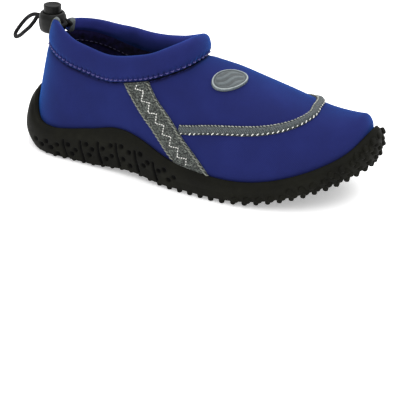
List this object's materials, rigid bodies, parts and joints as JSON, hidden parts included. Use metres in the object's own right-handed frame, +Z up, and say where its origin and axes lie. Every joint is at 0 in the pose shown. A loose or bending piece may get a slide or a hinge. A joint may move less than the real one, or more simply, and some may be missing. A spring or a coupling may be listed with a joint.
{
  "type": "water shoe",
  "caption": "Slip-on water shoe for a child: soft shell with a padded drawcord collar and a spring cord lock, in a moulded rubber cup sole with knobs.",
  "frame": {"origin": "on the floor, under the middle of the sole's length and width", "axes": "+X towards the toe, +Y towards the inner (medial) side, +Z up"},
  "size_m": [0.2193, 0.076, 0.0779],
  "materials": {
    "rubber": "matte moulded",
    "neoprene": "matte knit",
    "foam": "matte knit",
    "mesh_tape": "coarse weave",
    "grey_trim": "matte moulded",
    "grey_tape": "woven tape",
    "badge_rubber": "satin moulded",
    "black_plastic": "satin moulded",
    "elastic_cord": "braided"
  },
  "bodies": {
    "shoe": {"sole": "rubber", "insole": "foam", "upper": "neoprene", "collar": "neoprene", "binding_lateral": "grey_tape", "tape_lateral": "mesh_tape", "cord_lateral": "elastic_cord", "binding_medial": "grey_tape", "tape_medial": "mesh_tape", "cord_medial": "elastic_cord", "piping": "grey_trim", "badge": "badge_rubber", "lock_barrel": "black_plastic", "cord_loop": "elastic_cord"},
    "lock_button": {"lock_plunger": "black_plastic"}
  },
  "joints": [
    {"name": "press_plunger", "type": "slide", "parent": "shoe", "child": "lock_button", "axis": [0, 0, 1], "range_m": [-0.003, 0], "stiffness_N_per_m": 200, "springref_m": 0.005}
  ]
}
